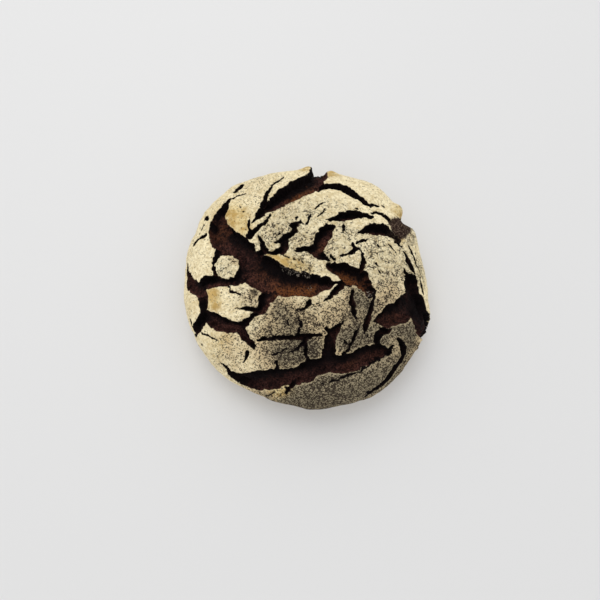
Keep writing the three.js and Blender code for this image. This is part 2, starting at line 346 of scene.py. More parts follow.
# %% The tears on the sides
SIDE_TEARS = {
    "tip_gap": [(33.6, 49, 1), (33.6, 41, 3), (34, 31, 4.5), (34, 21, 2)],
    "notch": [(84.2, 58, 15), (84, 48, 15), (84, 38, 13), (84.5, 29, 9), (86, 20, 4), (87, 14, 1)],
    "right_mouth": [
        (-12, 55, 2), (-15, 51, 5), (-18, 45, 10), (-20.5, 38, 20), (-22.5, 33, 25), (-25.5, 31, 26),
        (-28.5, 33, 18), (-30, 37, 6),
    ],
    "front_right_foot": [(-62.5, 44, 3), (-64, 36, 3), (-67, 28, 2), (-69, 22, 1)],
    "right_foot": [(-28, 42, 3), (-27, 34, 4), (-24, 27, 3), (-20, 22, 1)],
    "left_foot": [(-153, 45, 4), (-152, 37, 4), (-156, 29, 3), (-158, 22, 1)],
    "back_left_belt": [(118, 41, 1), (126, 39, 4), (135, 40, 6), (143, 38, 5), (152, 40, 2)],
    "back_left_low": [(128, 21, 1), (136, 19, 3), (146, 20, 4), (157, 18, 1)],
    "back_right_belt": [(42, 37, 1), (50, 38, 4), (58, 41, 6), (66, 40, 4), (73, 43, 1)],
    "back_right_low": [(52, 20, 1), (60, 18, 3), (70, 19, 2), (76, 18, 1)],
    "right_belt": [(-8, 29, 1), (-2, 31, 4), (6, 30, 5), (13, 33, 3), (19, 36, 1)],
    "front_belt": [(-128, 30, 1), (-119, 27, 3), (-110, 28, 4), (-101, 25, 2), (-96, 26, 1)],
    "front_low": [(-84, 19, 1), (-76, 17, 2), (-68, 16, 1)],
    "left_belt": [(165, 30, 1), (172, 27, 4), (180, 28, 3), (187, 25, 1)],
}
print("side tears:", len(SIDE_TEARS))

# %% [markdown]
# A tear is lifted onto the form: a plan point to the dome above it, a side point to the side at its height.
# The narrow tears were drawn a little too fine, and all open by the same small amount.

# %% Lift the tears onto the form
NARROW_OPENS = 0.7


def over_plan(x, y):
    """The point of the dome over a point of the plan."""
    share = min(math.hypot(x, y) / rim_radius(math.atan2(y, x)), 1)
    return x, y, dome_height(share)


def on_side(degrees, height):
    """The point of the side at an azimuth and a height."""
    azimuth = math.radians(degrees)
    if height > WIDEST_AT:
        climb = (height - WIDEST_AT) / (LOAF_HEIGHT - WIDEST_AT)
        radius = rim_radius(azimuth) * (1 - climb * climb) ** (1 / CROWN_POWER)
    else:
        tuck = math.asin(1 - height / WIDEST_AT)
        radius = rim_radius(azimuth) * (1 - BASE_INSET / MEAN_RADIUS * (1 - math.cos(tuck)))
    return radius * math.cos(azimuth), radius * math.sin(azimuth), height


tears = [[(*over_plan(x, y), width) for x, y, width in line] for line in WIDE_TEARS.values()]
for line in NARROW_TEARS.values():
    tears.append([(*over_plan(x, y), width + NARROW_OPENS) for x, y, width in line])
for line in SIDE_TEARS.values():
    tears.append([(*on_side(azimuth, height), width) for azimuth, height, width in line])
segments = np.array([[*a, *b] for line in tears for a, b in zip(line, line[1:])], float)
print("tear segments:", len(segments))

# %% [markdown]
# ## Unevenness
# Nothing on a loaf is smooth. A soft noise of a chosen lump size, with a fixed seed, makes torn edges
# ragged, plates uneven and crumb rough. Blender's own noise could serve, but it takes one point at a time,
# and this one takes all points at once.


# %% A soft noise
class Grain:
    """Smooth noise from -1 to 1 over points in mm, with lumps of a given size."""

    COUNT = 256  # random levels, after which they come again in another order

    def __init__(self, seed):
        random = np.random.default_rng(seed)
        self.order = random.permutation(self.COUNT)
        self.level = random.uniform(-1, 1, self.COUNT)

    def __call__(self, points, size):
        scaled = points / size
        cell = np.floor(scaled).astype(int)
        inside = scaled - cell
        inside = inside * inside * (3 - 2 * inside)
        total = np.zeros(len(points))
        for corner in np.ndindex(2, 2, 2):
            pick = self.order[(cell[:, 0] + corner[0]) % self.COUNT]
            pick = self.order[(pick + cell[:, 1] + corner[1]) % self.COUNT]
            pick = self.order[(pick + cell[:, 2] + corner[2]) % self.COUNT]
            total += self.level[pick] * np.prod(np.where(corner, inside, 1 - inside), axis=1)
        return total


SEEDS = range(6)
RAGGEDNESS = [(0, 9, 1.5), (3, 2.8, 1.0), (1, 1.5, 0.65)]  # first grain, lump size in mm, reach in mm
grains = [Grain(seed) for seed in SEEDS]
print("grains:", len(grains))


def ragged(points):
    """The points, moved about a little so that a smooth line through them turns ragged."""
    moved = points
    for first, size, reach in RAGGEDNESS:
        moves = [grain(points, size) for grain in grains[first : first + 3]]
        moved = moved + reach * np.stack(moves, axis=1)
    return moved


# %% [markdown]
# ## How far is the nearest torn edge
# For each point of the loaf: the distance to the nearest torn edge (negative inside a tear), which side of
# its middle line the point is on, and how wide the tear is there. The crust lifts most on one side of a
# tear, towards the back, and hangs over it there, so the sides look different. An island is a round-ended
# bar of crust (x, y, x, y, radius) that stayed standing inside a tear.

# %% Measure the tears
LIP_SIDE = np.array([-0.3, 0.95, 0.0])  # towards the back, and a little to the left
FARTHEST = 16.0  # mm, past which a distance no longer matters
ISLANDS = [(-78.2, 5.0, -75.8, 0.2, 9.8)]
print("islands:", len(ISLANDS))


def measure(points):
    """For each point: distance to the nearest torn edge, side of the tear, and the tear's width there."""
    moved = ragged(points)
    gap = np.full(len(points), FARTHEST)
    side = np.zeros(len(points))
    width = np.zeros(len(points))
    for segment in segments:
        start = segment[0:3]
        along = segment[4:7] - start
        start_width = segment[3]
        end_width = segment[7]
        reach = np.linalg.norm(along) / 2 + max(start_width, end_width) / 2 + FARTHEST
        near = np.flatnonzero(((moved - start - along / 2) ** 2).sum(axis=1) < reach * reach)
        offset = moved[near] - start
        part = np.clip(offset @ along / (along @ along), 0, 1)
        offset = offset - part[:, None] * along
        width_there = start_width + part * (end_width - start_width)
        away = np.linalg.norm(offset, axis=1)
        edge = away - width_there / 2
        better = edge < gap[near]
        chosen = near[better]
        gap[chosen] = edge[better]
        side[chosen] = (offset[better] @ LIP_SIDE) / np.maximum(width_there / 2, away)[better]
        width[chosen] = width_there[better]
    for x0, y0, x1, y1, radius in ISLANDS:
        along = np.array([x1 - x0, y1 - y0])
        offset = moved[:, :2] - (x0, y0)
        part = np.clip(offset @ along / (along @ along), 0, 1)
        edge = np.linalg.norm(offset - part[:, None] * along, axis=1) - radius
        gap = np.where(edge < 0, np.maximum(gap, -edge), gap)
    return gap, side, width


# %% [markdown]
# ## The ball that becomes the loaf
# An icosphere has even triangles and no poles, so it takes a natural shape well. Fine triangles would be
# wasted on the plain plates, so it stays coarse there, and near the tears every edge that is still too long
# is halved, in three passes. Lengths are measured on the loaf and not on the ball, so a torn edge is as
# fine on the steep side as on the crown.

# %% Make the ball and refine it along the tears
PASSES = [2.4, 1.2, 1.2]  # each pass halves the edges that are longer than this, mm
REFINED_OUT_TO = 2.0  # mm outside a torn edge
EDGE_ZONE = 2.5  # mm inside a torn edge, past which the crumb may be coarser
CRUMB_COARSER = 1.6  # times as long
BASE_ABOVE = 1  # points lower than this many mm are the plain base

ball = bmesh.new()
bmesh.ops.create_icosphere(ball, subdivisions=7, radius=1)


def ball_points():
    """The ball's points as an array of unit vectors."""
    points = np.array([vertex.co for vertex in ball.verts])
    return points / np.linalg.norm(points, axis=1)[:, None]


def refine(longest):
    """Halves the edges near and inside the tears that are longer than a length in mm."""
    points = shape(ball_points())[0]
    gap = measure(points)[0]
    near = (gap < REFINED_OUT_TO) & (points[:, 2] > BASE_ABOVE)
    limit = longest * np.where(gap > -EDGE_ZONE, 1.0, CRUMB_COARSER)
    ends = np.array([[vertex.index for vertex in edge.verts] for edge in ball.edges])
    length = np.linalg.norm(points[ends[:, 0]] - points[ends[:, 1]], axis=1)
    wanted = near[ends].all(axis=1) & (length > limit[ends].max(axis=1))
    long_edges = [edge for edge, want in zip(ball.edges, wanted) if want]
    bmesh.ops.subdivide_edges(ball, edges=long_edges, cuts=1)
    bmesh.ops.triangulate(ball, faces=[face for face in ball.faces if len(face.verts) > 3])
    ball.verts.index_update()
    print("edges halved:", len(long_edges), "triangles:", len(ball.faces))


for longest in PASSES:
    refine(longest)
points, outward = shape(ball_points())
gap, side, width = measure(points)

# %% [markdown]
# A torn edge that crosses the triangles at random comes out like a comb. Finer triangles only make the comb
# finer. So each point close to an edge is slid along the surface onto it, down the slope of the measured
# distance.

# %% Slide points onto the torn edges
SLOPE_STEP = 0.25  # mm between the two measurements of a slope
EDGE_AT = -0.3  # the measured distance, in mm, that becomes the rim of the tear
SLIDE_OUT = 0.55  # points up to this many mm inside the rim slide out to it
SLIDE_IN = 0.4  # and points up to this many mm outside it slide in
LEAST_STEEPNESS = 0.5  # so that no point slides far where the slope is nearly flat

at_edge = (gap > EDGE_AT - SLIDE_OUT) & (gap < EDGE_AT + SLIDE_IN)
close = np.flatnonzero(at_edge & (points[:, 2] > BASE_ABOVE))
slope = [(measure(points[close] + SLOPE_STEP * axis)[0] - gap[close]) / SLOPE_STEP for axis in np.eye(3)]
slope = np.stack(slope, axis=1)
slope -= (slope * outward[close]).sum(axis=1)[:, None] * outward[close]
steepness = np.maximum((slope**2).sum(axis=1), LEAST_STEEPNESS)
points[close] -= ((gap[close] - EDGE_AT) / steepness)[:, None] * slope
gap[close] = EDGE_AT
print("points slid onto an edge:", len(close))

# %% [markdown]
# ## Where plates lifted, crazed and burst
# A few plates stand up at the rim, sag or curl, the skin is crazed into fine scales over part of the crown,
# and at one place on the right it burst into coarse crumbs. Painting such things by hand would tie them to
# one mesh, so each is a list of soft round spots (x, y, radius, strength) over the plan, in millimetres.


# %% Soft steps and spots
def smooth_step(low_end, high_end, values):
    """0 below the low end, 1 above the high end, and a smooth slope between."""
    t = np.clip((values - low_end) / (high_end - low_end), 0, 1)
    return t * t * (3 - 2 * t)


def spots(places):
    """The sum of soft round spots (x, y, radius, strength), seen from above, on the upper side only."""
    total = np.zeros(len(points))
    for x, y, radius, strength in places:
        near = np.exp(-((points[:, 0] - x) ** 2 + (points[:, 1] - y) ** 2) / radius**2)
        total += strength * near
    return total * smooth_step(8, 22, points[:, 2])


def lumps(layers):
    """Layers of noise (grain, lump size in mm, height in mm), added up."""
    return sum(height * grains[grain](points, size) for grain, size, height in layers)


# %% Spots of lifted, crazed and burst crust
LIFTS = [
    (3, 118, 7, 3.2), (18, 122, 6, -2.6), (24, 116, 7, 1.8), (95, 72, 7, 4.2), (104, 48, 12, 2.6),
    (74, 94, 14, 2.2), (-92, 80, 22, 1.2), (-105, 67, 12, 1.8), (-76, 99, 10, 1.4), (62, 106, 9, 1.5),
    (-73, -100, 11, 1.4), (-113, 50, 8, -1.4), (119, -50, 13, 8.2), (112, -64, 8, 4.2),
    (103, 62, 8, -6.5), (58, -114, 14, 1.6), (94, -47, 7, 2.0), (-20, 6, 12, 1.5), (0, -2, 10, 1.5),
    (-67, 52, 12, 1.5), (-74, 4, 8, 1.0),
]
CRACKLED = [
    (-22, 38, 24, 1.0), (10, 14, 20, 0.8), (34, 30, 16, 0.7), (72, 6, 28, 1.1), (-4, 2, 11, 0.7),
    (-72, 1, 7, 0.6), (-30, -48, 24, 0.9), (30, 64, 16, 0.35), (106, 6, 16, 0.8), (-46, 12, 10, 0.6),
    (-76, 6, 12, 0.7), (-8, -76, 24, 0.9), (40, -40, 24, 0.7), (8, -48, 22, 0.5), (-50, -24, 14, 0.6),
    (-6, 62, 26, 0.4), (100, -78, 16, 0.9), (106, -58, 9, 0.7), (103, 42, 8, 0.9),
]
BURST = [
    (86, 51, 7, 0.9), (96, 52, 8, 1.0), (103, 56, 8, 0.5), (89, 43, 7, 1.0), (89, 35, 5, 0.8),
    (97, 42, 6, 0.4),
]
print("spots:", len(LIFTS) + len(CRACKLED) + len(BURST))

# %% [markdown]
# ## Tearing
# Inside a tear the wall drops steeply, and the crumb floor rises again away from the lip. Outside, plates
# are puffed up in their middles, round over at their edges, and lift along the lip side. All of it could be
# a displacement in the material, but then the mesh itself would stay a smooth dome, so the points move.

# %% The drop into the tears
SHALLOWEST = 1.4  # mm, at the finest crack
DEEPER = 8.6  # mm more at the widest tear
DEEPENS_OVER = 7  # mm of width
CRUMB_LAYERS = [(0, 4.5, 1.3), (1, 2.1, 1.1)]
inside = np.maximum(EDGE_AT - gap, 0)
outside = np.maximum(gap - EDGE_AT, 0)
wide = smooth_step(3, 12, width)
wall = smooth_step(0.05, 1.2, inside)
depth = SHALLOWEST + DEEPER * (1 - np.exp(-width / DEEPENS_OVER))
to_middle = smooth_step(0, 1, inside / np.maximum(width / 2, 1))
drop = depth * (0.86 + 0.24 * side - 0.22 * wide * to_middle) + wide * lumps(CRUMB_LAYERS)
print("deepest tear, mm:", round(float(depth.max()), 1))

# %% The rise of the plates
LIP_LIFT = 2.6  # mm, at the lip side of a wide tear
PUFF = 1.6  # mm, in the middle of a plate
ROUNDING = 0.9  # mm, that a plate's edge is rounded over
CROWN_SAG = 1.2  # mm, which keeps the top near the part's height
SETTLED = 1.0  # mm, the even part of puff and lumps, taken off again
PLATE_LAYERS = [(2, 36, 1.3), (3, 15, 0.7), (4, 5.5, 0.35)]
BURST_LAYERS = [(3, 3.6, 0.9), (4, 1.8, 0.6)]
BURST_SINKS = 0.8  # mm
lip = LIP_LIFT * wide * np.exp(-outside / 6) * np.clip(side + 0.1, 0, 1)
puff = PUFF * (1 - np.exp(-outside / 9)) - ROUNDING * np.exp(-outside / 1.3)
wrinkles = (0.15 + 0.6 * np.clip(spots(CRACKLED), 0, 1)) * grains[5](points, 3.4)
sag = CROWN_SAG * smooth_step(62, LOAF_HEIGHT, points[:, 2])
rise = puff + lip + lumps(PLATE_LAYERS) + wrinkles - SETTLED - sag + spots(LIFTS) - wall * drop
crumbly = np.clip(spots(BURST), 0, 1)
rise = rise + crumbly * (lumps(BURST_LAYERS) - BURST_SINKS)
above_base = smooth_step(0.5, 12, points[:, 2])
rise = rise * above_base
print("deepest point, mm:", round(float(rise.min()), 1), "highest lift, mm:", round(float(rise.max()), 1))

# %% The overhang under the lips
UNDERCUT = 2.4  # mm
undercut = UNDERCUT * wide * wall * smooth_step(5, 0.5, inside) * np.clip(side, 0, 1) * above_base
shaped = points + rise[:, None] * outward + undercut[:, None] * LIP_SIDE
shaped[:, 2] = np.maximum(shaped[:, 2], 0)
print("deepest overhang, mm:", round(float(undercut.max()), 1))

# %% [markdown]
# ## Flour, toast, painted shade and painted light
# The flour isn't even: thick and creamy at the back and left, worn to a salt-and-pepper grey over the front,
# and the front side and the lower right also get painted shade, as they face away from the light.
# Plates that stood nearest the oven's heat are toasted ochre, some tears are blacked out with painted shade,
# and in others the crumb gets painted light where light would reach it. Each is a soft map of spots over the
# plan, as before.

# %% Where flour is thin, and where painted shade darkens the front side and the lower right
# Part thin flour, part painted shade: the strong spots on the front side and lower right stand for shade
THIN_FLOUR_AND_SHADE = [
    (-25, -50, 24, 0.5), (12, -48, 26, 0.45), (44, -40, 22, 0.6), (-5, -74, 22, 0.7),
    (-32, -76, 20, 0.65), (40, -66, 16, 0.6), (72, -66, 16, 0.4), (86, -58, 14, 0.4),
    (78, -6, 26, 0.35), (85, -51, 10, 0.75), (100, -64, 10, 0.35), (20, -97, 11, 0.5),
    (44, -25, 9, 0.35), (-22, -36, 13, 0.35), (52, -68, 11, 0.4), (32, -66, 9, 0.4),
    (-20, 36, 22, 0.35), (20, 20, 20, 0.35), (-76, -64, 17, 0.35), (-66, -74, 15, 0.4),
    (-68, 7, 4.5, 0.9), (-46, -23, 5, 0.7), (6, -73, 9, 0.4), (29, -68, 7, 0.35), (-50, 88, 22, 0.4),
    (-14, 60, 13, 0.3), (0, -118, 30, 0.9), (46, -110, 30, 0.95), (-14, -124, 18, 0.4),
    (20, -128, 24, 0.55), (-45, -118, 24, 0.7), (84, -92, 22, 0.7), (-52, -26, 16, 0.4),
    (77, -28, 13, 0.65), (104, 40, 8, 0.4), (99, -52, 10, 0.8), (100, -78, 15, 0.45),
    (52, -34, 12, 0.55), (62, -58, 14, 0.6), (66, -92, 18, 0.5),
]
print("spots of thin flour:", len(THIN_FLOUR_AND_SHADE))

# %% Where crust is toasted, and where the crumb gets painted light, painted shade and painted glints
TOASTED = [
    (-72, 62, 14, 0.6), (-66, 47, 14, 0.8), (-60, 36, 8, 0.5), (-32, 9, 7, 1.3), (-21, 4, 8, 1.1),
    (-9, 0, 7, 0.9), (-90, -22, 7, 0.6), (-84, -33, 7, 0.6), (3, -4, 7, 0.5), (-92, -24, 11, 0.8),
    (93, 67, 11, 0.8), (0, 116, 11, 0.7), (25, 112, 10, 0.9), (-22, -106, 11, 0.7), (90, 35, 7, 0.6),
    (-96, 64, 12, 0.4), (-80, -66, 20, 0.45), (-110, -30, 8, 0.4), (-30, -106, 10, 0.5),
]
# painted light: spots where the crumb in a tear is lit orange, as if light reached it
PAINTED_CRUMB_LIGHT = [
    (-12, -24, 10, 0.9), (2, -21, 9, 1.0), (-26, -20, 9, 0.7), (44, -9, 9, 0.9), (36, -6, 8, 0.6),
    (80, -40, 12, 0.25), (12, 22, 8, 0.4), (-10, 79, 14, 0.9), (2, 92, 10, 0.4), (36, -5, 10, 0.7),
    (-86, 44, 13, 0.6), (52, -16, 9, 0.7), (62, -78, 12, 0.1), (40, -87, 10, 0.2), (-40, -4, 12, 0.4),
    (90, 47, 12, 0.3),
]
# painted shade: spots where a whole tear goes nearly black, standing for the lip's shadow
PAINTED_TEAR_SHADE = [
    (-66, -98, 16, 1.0), (-48, -93, 16, 0.8), (-26, -91, 14, 0.9), (6, -88, 14, 0.9),
    (26, -82, 12, 0.8), (46, -76, 12, 0.8), (64, -70, 8, 0.6), (80, -46, 10, 0.3), (-64, 12, 14, 0.35),
    (-52, -14, 12, 0.3), (20, -68, 9, 0.5), (66, -63, 8, 0.9), (84, -88, 12, 0.7), (108, -34, 22, 1.0),
    (-100, -44, 12, 1.0), (89, -76, 11, 1.0), (78, -97, 13, 1.0), (62, -111, 10, 1.0), (97, 4, 9, 0.9),
    (-80, 70, 9, 0.7), (-45, 57, 9, 0.6), (96, -8, 12, 0.8), (-110, -6, 8, 0.4), (30, 53, 12, 0.4),
    (64, 41, 9, 0.3),
]
# painted highlights: pale dots just inside the lips and in two tears, standing for glints
PAINTED_GLINT_SPOTS = [
    (-22, 1, 5, 0.7), (-15, -3, 5, 0.9), (-8, -6, 5, 1.0), (0, -8, 5, 0.8), (3, -19, 3, 2.0),
    (57.5, -22.8, 3, 2.0),
]
print("spots of toast and crumb:", len(TOASTED) + len(PAINTED_CRUMB_LIGHT) + len(PAINTED_TEAR_SHADE) + len(PAINTED_GLINT_SPOTS))

# %% Gather the marks
BURST_STOPS_AT = 62  # y in mm of the burst's far edge, where x is BURST_MIDDLE
BURST_MIDDLE = 90
BURST_SLANT = 0.12  # the far edge comes this many mm nearer for each mm to the right
before_stop = BURST_STOPS_AT - points[:, 1] - BURST_SLANT * (points[:, 0] - BURST_MIDDLE)
marks = {
    "gap": gap,
    "side": side,
    "wide": wide,
    "thin_flour_and_shade": np.clip(spots(THIN_FLOUR_AND_SHADE) + 0.15 * grains[5](points, 22), 0, 1.4),
    "toasted": np.clip(spots(TOASTED), 0, 1.6),
    "crackled": np.clip(spots(CRACKLED), 0, 1),
    "painted_crumb_light": np.clip(spots(PAINTED_CRUMB_LIGHT), 0, 1),
    "painted_tear_shade": np.clip(spots(PAINTED_TEAR_SHADE), 0, 1),
    "painted_glints_on_crumb": spots(PAINTED_GLINT_SPOTS),
    "burst": crumbly * smooth_step(-1.5, 1.0, before_stop),
    "under": 1 - smooth_step(4, 22, points[:, 2]),
}
print("marks:", ", ".join(marks))

# %% [markdown]
# ## The finished mesh
# The ball's points go to their places on the loaf, in metres, and the marks go with them as attributes of
# the mesh. Image maps could hold the marks too, but attributes need no unwrapping and have no seams.

# %% Finish the mesh
for vertex, place in zip(ball.verts, (shaped + shift) * METRES_PER_MM):
    vertex.co = place
bmesh.ops.recalc_face_normals(ball, faces=ball.faces[:])
loaf_mesh = bpy.data.meshes.new("loaf")
ball.to_mesh(loaf_mesh)
ball.free()
loaf_mesh.shade_smooth()
for name, values in marks.items():
    attribute = loaf_mesh.attributes.new(name, "FLOAT", "POINT")
    attribute.data.foreach_set("value", values.astype(np.float32))
loaf = bpy.data.objects.new("loaf", loaf_mesh)
bpy.context.scene.collection.objects.link(loaf)
print("loaf mesh:", len(loaf_mesh.vertices), "points,", len(loaf_mesh.polygons), "triangles")

# %% [markdown]
# ## The material's maths
# A shader is arithmetic on maps. Node by node it would be hundreds of lines that say little, so a small
# class wraps a socket: a sum written in Python adds its Math nodes, and one method adds every other node.


# %% A socket that can be reckoned with
class Value:
    """An output socket of a node tree. +, - and * on it add Math nodes."""

    def __init__(self, tree, socket):
        self.tree = tree
        self.socket = socket

    def add_node(self, kind, settings, sockets, output=0):
        """Adds a node of a type. Sockets take values or links, by name or number. Returns one output."""
        node = self.tree.nodes.new(kind)
        for key, value in settings.items():
            setattr(node, key, value)
        for key, value in sockets.items():
            if isinstance(value, Value):
                self.tree.links.new(value.socket, node.inputs[key])
            else:
                node.inputs[key].default_value = value
        return Value(self.tree, node.outputs[output])

    def math(self, operation, first, second):
        """One Math node on two values or numbers."""
        return self.add_node("ShaderNodeMath", {"operation": operation}, {0: first, 1: second})

    def __add__(self, other):
        return self.math("ADD", self, other)

    def __radd__(self, other):
        return self.math("ADD", other, self)

    def __sub__(self, other):
        return self.math("SUBTRACT", self, other)

    def __rsub__(self, other):
        return self.math("SUBTRACT", other, self)

    def __mul__(self, other):
        return self.math("MULTIPLY", self, other)

    def __rmul__(self, other):
        return self.math("MULTIPLY", other, self)

    def over(self, low_end, high_end):
        """0 where the value is under the low end, 1 over the high end, smooth between."""
        sockets = {"Value": self, "From Min": low_end, "From Max": high_end}
        return self.add_node("ShaderNodeMapRange", {"interpolation_type": "SMOOTHSTEP"}, sockets)

    def blend(self, first, second):
        """A colour between two colours, by this value."""
        settings = {"data_type": "RGBA", "clamp_factor": True}
        return self.add_node("ShaderNodeMix", settings, {0: self, 6: first, 7: second}, output=2)


# %% [markdown]
# ## Crust and crumb
# The flour, the toasted crust and the torn crumb run into each other on the real loaf. Separate materials
# would meet in hard lines along the triangles, so one material covers it all and the marks say where each
# finish shows. Noise reads Object coordinates, so its grain keeps its size on every side.

# %% Start the crust material
crust = bpy.data.materials.new("baked crust")
crust.use_nodes = True
tree = crust.node_tree
tree.nodes.clear()
coordinates = tree.nodes.new("ShaderNodeTexCoord")
here = Value(tree, coordinates.outputs["Object"])


def mark(name):
    """One of the loaf's own maps."""
    return here.add_node("ShaderNodeAttribute", {"attribute_name": name}, {}, output="Fac")


def noise(scale, detail=2.0, roughness=0.5, distortion=0.0):
    """Noise of some scale, in lumps per metre, from 0 to 1."""
    sockets = {"Vector": here, "Scale": scale, "Detail": detail}
    sockets.update({"Roughness": roughness, "Distortion": distortion})
    return here.add_node("ShaderNodeTexNoise", {}, sockets)


def count_nodes(finish):
    """Prints how many nodes the material has after a finish."""
    print("nodes after", finish, "are", len(tree.nodes))


# %% [markdown]
# Flour is cream where it lies thick. Where it is thin its granules stand apart, and the dark crust shows
# between them as salt and pepper. A plain noise looks like cloud at this scale, so half of the speckle is
# the random colour of small Voronoi cells, which have the crisp edges of granules.

# %% Flour granules and bare crust
GRANULES = 1020.0  # per metre
granules = here.add_node("ShaderNodeTexVoronoi", {}, {"Vector": here, "Scale": GRANULES}, output="Color")
granule = here.add_node("ShaderNodeSeparateColor", {}, {"Color": granules})
speckle = 0.5 * noise(800.0, detail=3.0, roughness=0.7) + 0.5 * granule
patches = noise(55.0, detail=4.0, roughness=0.65)
blotches = noise(150.0, detail=4.0, roughness=0.7)
# thin flour and painted shade, in one map
thin_and_shaded = mark("thin_flour_and_shade") + 0.65 * (patches - 0.5)
bare = (speckle + 0.25 * thin_and_shaded + 0.38 * (blotches - 0.5)).over(0.70, 0.82)
count_nodes("granules")

# %% Flour colours
SHADED_CREAM = (0.64, 0.52, 0.295, 1)
BRIGHT_CREAM = (0.94, 0.83, 0.56, 1)
THIN_AND_SHADED_CREAM = (0.62, 0.485, 0.285, 1)
# painted shade: the darkest cream, on the front side and lower right, which face away from the light
PAINTED_SHADE_CREAM = (0.30, 0.25, 0.16, 1)
cream = (0.5 * blotches + 0.5 * noise(420.0, detail=3.0)).over(0.35, 0.62)
cream = cream.blend(SHADED_CREAM, BRIGHT_CREAM)
greyed_and_shaded = thin_and_shaded.over(0.1, 0.8).blend(cream, THIN_AND_SHADED_CREAM)
with_painted_shade = thin_and_shaded.over(0.65, 1.15).blend(greyed_and_shaded, PAINTED_SHADE_CREAM)
count_nodes("flour")

# %% [markdown]
# Toasted flour turns ochre, in blotches, and deeper where the heat was strongest. Over both cream and ochre
# lie the bare specks of dark crust and a few small pits.

# %% Toast, bare specks and pits
DARK_OCHRE = (0.47, 0.31, 0.105, 1)
LIGHT_OCHRE = (0.77, 0.63, 0.34, 1)
DEEP_OCHRE = (0.62, 0.42, 0.15, 1)
BROWN_CRUST = (0.20, 0.16, 0.095, 1)
BLACK_CRUST = (0.026, 0.018, 0.014, 1)
PIT = (0.05, 0.035, 0.03, 1)
toast_mask = (mark("toasted") + 0.5 * (patches - 0.5)).over(0.1, 0.8)
ochre = blotches.over(0.38, 0.62).blend(DARK_OCHRE, LIGHT_OCHRE)
deep_ochre = mark("toasted").over(0.75, 1.5).blend(ochre, DEEP_OCHRE)
toasted = toast_mask.blend(with_painted_shade, deep_ochre)
# bare specks turn black where flour is thin, and also under the painted shade
dark_crust = thin_and_shaded.over(0.1, 0.6).blend(BROWN_CRUST, BLACK_CRUST)
floury = (bare * 0.92).blend(toasted, dark_crust)
pits = noise(480.0, detail=1.0).over(0.68, 0.73)
pitted = (pits * 0.8).blend(floury, PIT)
count_nodes("toast")

# %% [markdown]
# The skin crazed into small scales where it dried fast. Voronoi cells bent by noise have such outlines, and
# a second noise breaks the lines off, because an unbroken net looks like reptile skin.

# %% Crackle
CRACKLE = (0.030, 0.021, 0.017, 1)
BEND = 0.009  # metres
SCALES = 290.0  # per metre
wobbling = {"Vector": here, "Scale": 210.0, "Detail": 4.0}
wobble = here.add_node("ShaderNodeTexNoise", {}, wobbling, output="Color")
bend = {0: wobble, 1: (BEND, BEND, BEND), 2: here}
bent = here.add_node("ShaderNodeVectorMath", {"operation": "MULTIPLY_ADD"}, bend, output="Vector")
to_edge = {"feature": "DISTANCE_TO_EDGE"}
scales = here.add_node("ShaderNodeTexVoronoi", to_edge, {"Vector": bent, "Scale": SCALES}, output="Distance")
broken = (0.7 * noise(240.0, detail=3.0, roughness=0.7) + 0.3 * patches).over(0.49, 0.56)
crackle_line = (1 - scales.over(0.05, 0.14)) * broken * mark("crackled").over(0.1, 0.7)
crackled = (crackle_line * 0.92).blend(pitted, CRACKLE)
count_nodes("crackle")

# %% [markdown]
# The crumb in a tear is a coarse reddish brown sponge with near-black blotches in it. Painted light makes it
# glow where light would reach it. Under the lip and where a tear is narrow it is burnt nearly black, with
# painted shade where shade falls, some tears are blacked out with painted shade, and a few painted glints
# sit just inside the lips.

# %% Torn crumb
DARK_CRUMB = (0.006, 0.003, 0.003, 1)
BROWN_CRUMB = (0.160, 0.060, 0.047, 1)
DARK_BLOTCH_CRUMB = (0.009, 0.0042, 0.0038, 1)
PAINTED_LIT_CRUMB = (0.21, 0.072, 0.018, 1)
coarse_crumb = noise(230.0, detail=6.0, roughness=0.8, distortion=0.6)
fine_crumb = noise(640.0, detail=3.0, roughness=0.75)
crumb_grain = 0.5 * coarse_crumb + 0.5 * fine_crumb
brown = crumb_grain.over(0.40, 0.66).blend(DARK_CRUMB, BROWN_CRUMB)
# near-black blotches in the crumb, at random
dark_blotches = noise(95.0, detail=5.0, roughness=0.7).over(0.47, 0.63) * 0.55
brown = dark_blotches.blend(brown, DARK_BLOTCH_CRUMB)
# painted light: the crumb turns orange where light would reach it
crumb_with_painted_light = (mark("painted_crumb_light") * crumb_grain.over(0.42, 0.6)).blend(brown, PAINTED_LIT_CRUMB)
count_nodes("crumb")

# %% Burnt walls with painted shade, and painted glints
BURNT_AND_SHADED = (0.0025, 0.0014, 0.0018, 1)
PAINTED_GLINT = (0.36, 0.31, 0.25, 1)
side_here = mark("side") + 1.2 * (noise(170.0, detail=5.0, roughness=0.75) - 0.5)
# painted shade: black under the lip and in narrow tears, where shade falls, on top of real burnt walls
burnt_and_shade_mask = 1 - (1 - side_here.over(-0.45, 0.35)) * mark("wide") * (1 - 0.97 * mark("painted_tear_shade"))
torn = (burnt_and_shade_mask * 0.98).blend(crumb_with_painted_light, BURNT_AND_SHADED)
# painted glints: pale dots in a line just inside the lip, and in two patches
painted_glint_place = mark("painted_glints_on_crumb").over(0.3, 0.8) * mark("gap").over(-3.4, -2.2)
painted_glint_place = painted_glint_place + mark("painted_glints_on_crumb").over(1.0, 1.5)
painted_glint_mask = noise(520.0, detail=2.0).over(0.56, 0.61) * painted_glint_place
painted_glints_on_crumb = (painted_glint_mask * 0.9).blend(torn, PAINTED_GLINT)
count_nodes("burnt walls")

# %% [markdown]
# The two meet at the torn edge. The measured distance, made uneven by noise, switches from crust to crumb,
# and just outside a wide tear a pale line of painted highlight runs along the lifted rim. Then come the
# coarse crumbs of the burst place, and the browner band that bakes on low down, near the hot oven floor.

